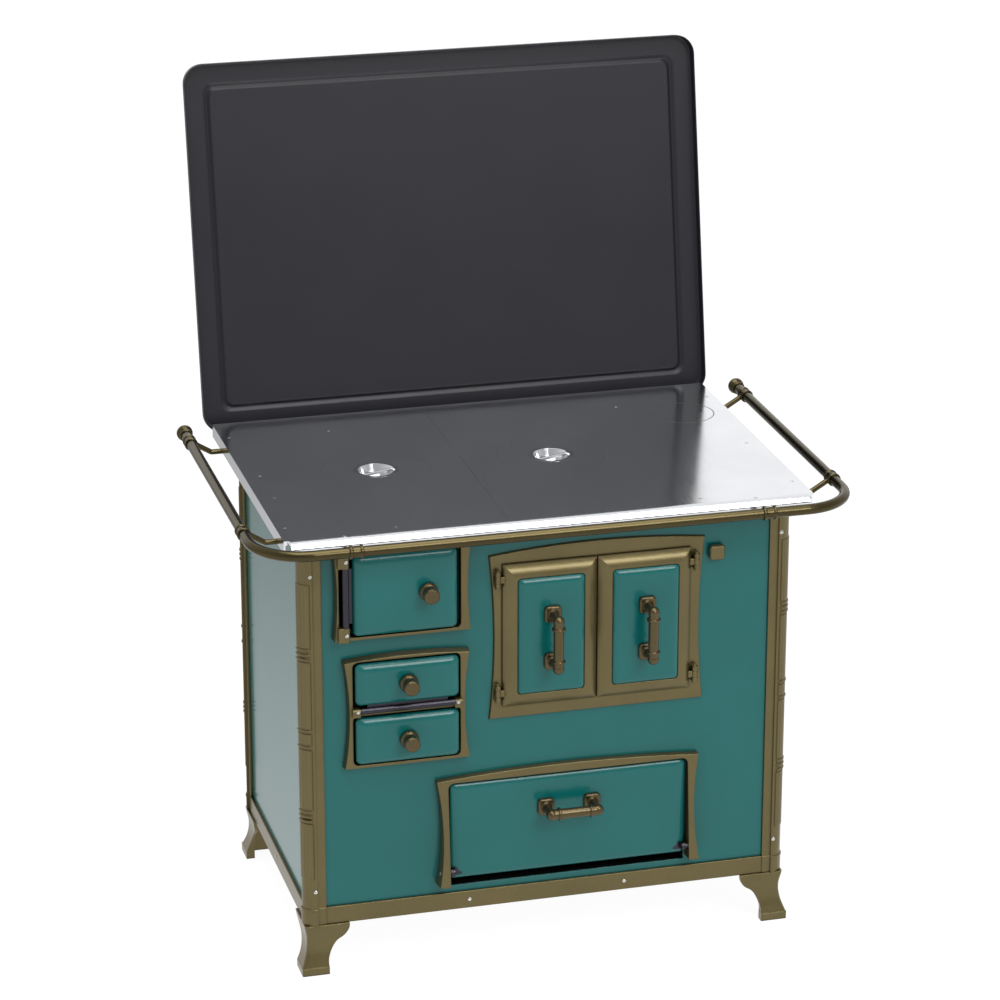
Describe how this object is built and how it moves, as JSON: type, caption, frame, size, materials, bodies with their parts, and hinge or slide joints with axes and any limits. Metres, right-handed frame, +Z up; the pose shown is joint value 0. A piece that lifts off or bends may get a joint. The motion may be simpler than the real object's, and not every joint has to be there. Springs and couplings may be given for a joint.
{
  "type": "wood burning stove",
  "caption": "Rectangular wood burning range with fluted corner columns, cast feet, hinged oven and firebox doors, ash drawer, wood box flap, towel rail and folding lid.",
  "frame": {"origin": "middle of the footprint's bounding box, on the floor", "axes": "+Z up, -Y out of the front panel towards the cook, +X to the cook's right"},
  "size_m": [1.116, 0.8908, 1.5127],
  "materials": {
    "teal_enamel": "glossy vitreous enamel",
    "bronze_paint": "satin antique bronze",
    "antique_brass": "aged brass castings",
    "lid_enamel": "satin charcoal enamel",
    "polished_steel": "polished steel",
    "steel_hardware": "bright steel",
    "galvanised": "plain steel sheet",
    "cast_iron": "rough cast iron",
    "firebrick": "matte refractory brick"
  },
  "bodies": {
    "stove": {"air_flap_hinge_pin": "steel_hardware", "back_panel": "galvanised", "base_rail_back": "bronze_paint", "base_rail_front": "bronze_paint", "base_rails_side": "bronze_paint", "bottom_panel": "galvanised", "column_front_left": "bronze_paint", "column_front_right": "bronze_paint", "column_rear_left": "bronze_paint", "column_rear_right": "bronze_paint", "cooktop": "polished_steel", "firebox_bricks": "firebrick", "firebox_hinge_pin": "steel_hardware", "firebox_shell": "galvanised", "firebox_surround": "bronze_paint", "flue_spigot": "galvanised", "foot_front_left": "bronze_paint", "foot_front_right": "bronze_paint", "foot_rear_left": "bronze_paint", "foot_rear_right": "bronze_paint", "front_panel": "teal_enamel", "grate": "cast_iron", "handrail": "antique_brass", "lid_brackets": "galvanised", "oven_box": "galvanised", "oven_rack": "galvanised", "oven_surround": "bronze_paint", "rail_finials": "antique_brass", "rail_supports": "antique_brass", "screws": "steel_hardware", "side_panel_left": "teal_enamel", "side_panel_right": "teal_enamel", "small_surround": "bronze_paint", "wood_box": "galvanised", "wood_surround": "bronze_paint"},
    "lid": {"lid_pan": "lid_enamel", "lid_hinge_leaves": "galvanised"},
    "firebox_door": {"firebox_door_panel": "teal_enamel", "firebox_door_liner": "cast_iron", "firebox_knob": "antique_brass"},
    "air_flap": {"air_flap_panel": "teal_enamel", "air_flap_knob": "antique_brass"},
    "ash_drawer": {"ash_drawer_front": "teal_enamel", "ash_drawer_box": "galvanised", "ash_drawer_knob": "antique_brass"},
    "oven_door_left": {"oven_door_frame_left": "bronze_paint", "oven_door_panel_left": "teal_enamel", "oven_door_handle_left": "antique_brass"},
    "oven_door_right": {"oven_door_frame_right": "bronze_paint", "oven_door_panel_right": "teal_enamel", "oven_door_handle_right": "antique_brass"},
    "wood_flap": {"wood_flap_panel": "teal_enamel", "wood_flap_handle": "antique_brass"},
    "damper": {"damper_knob": "antique_brass", "damper_rod": "galvanised"},
    "hob_ring_l": {"hob_ring_left": "polished_steel"},
    "hob_ring_r": {"hob_ring_right": "polished_steel"},
    "plug_l": {"plug_left": "polished_steel"},
    "plug_r": {"plug_right": "polished_steel"},
    "flue_lid": {"flue_cover": "polished_steel"}
  },
  "joints": [
    {"name": "lid_hinge", "type": "hinge", "parent": "stove", "child": "lid", "pos_m": [0, 0.30406, 0.8347], "axis": [1, 0, 0], "range_deg": [0, 100]},
    {"name": "firebox_door_hinge", "type": "hinge", "parent": "stove", "child": "firebox_door", "pos_m": [-0.375, -0.34893, 0.733], "axis": [0, 0, -1], "range_deg": [0, 110]},
    {"name": "air_flap_hinge", "type": "hinge", "parent": "stove", "child": "air_flap", "pos_m": [-0.264, -0.34393, 0.513], "axis": [1, 0, 0], "range_deg": [0, 75]},
    {"name": "ash_drawer_slide", "type": "slide", "parent": "stove", "child": "ash_drawer", "axis": [0, -1, 0], "range_m": [0, 0.3]},
    {"name": "oven_door_left_hinge", "type": "hinge", "parent": "stove", "child": "oven_door_left", "pos_m": [-0.0961, -0.33593, 0.624], "axis": [0, 0, -1], "range_deg": [0, 95]},
    {"name": "oven_door_right_hinge", "type": "hinge", "parent": "stove", "child": "oven_door_right", "pos_m": [0.2729, -0.33593, 0.624], "axis": [0, 0, 1], "range_deg": [0, 95]},
    {"name": "wood_flap_hinge", "type": "hinge", "parent": "stove", "child": "wood_flap", "pos_m": [0.0375, -0.33793, 0.1745], "axis": [1, 0, 0], "range_deg": [0, 80]},
    {"name": "damper_slide", "type": "slide", "parent": "stove", "child": "damper", "axis": [0, -1, 0], "range_m": [0, 0.06]},
    {"name": "hob_ring_left_lift", "type": "slide", "parent": "stove", "child": "hob_ring_l", "axis": [0, 0, 1], "range_m": [0, 0.1]},
    {"name": "hob_ring_right_lift", "type": "slide", "parent": "stove", "child": "hob_ring_r", "axis": [0, 0, 1], "range_m": [0, 0.1]},
    {"name": "plug_left_lift", "type": "slide", "parent": "hob_ring_l", "child": "plug_l", "axis": [0, 0, 1], "range_m": [0, 0.1]},
    {"name": "plug_right_lift", "type": "slide", "parent": "hob_ring_r", "child": "plug_r", "axis": [0, 0, 1], "range_m": [0, 0.1]},
    {"name": "flue_cover_lift", "type": "slide", "parent": "stove", "child": "flue_lid", "axis": [0, 0, 1], "range_m": [0, 0.1]}
  ]
}
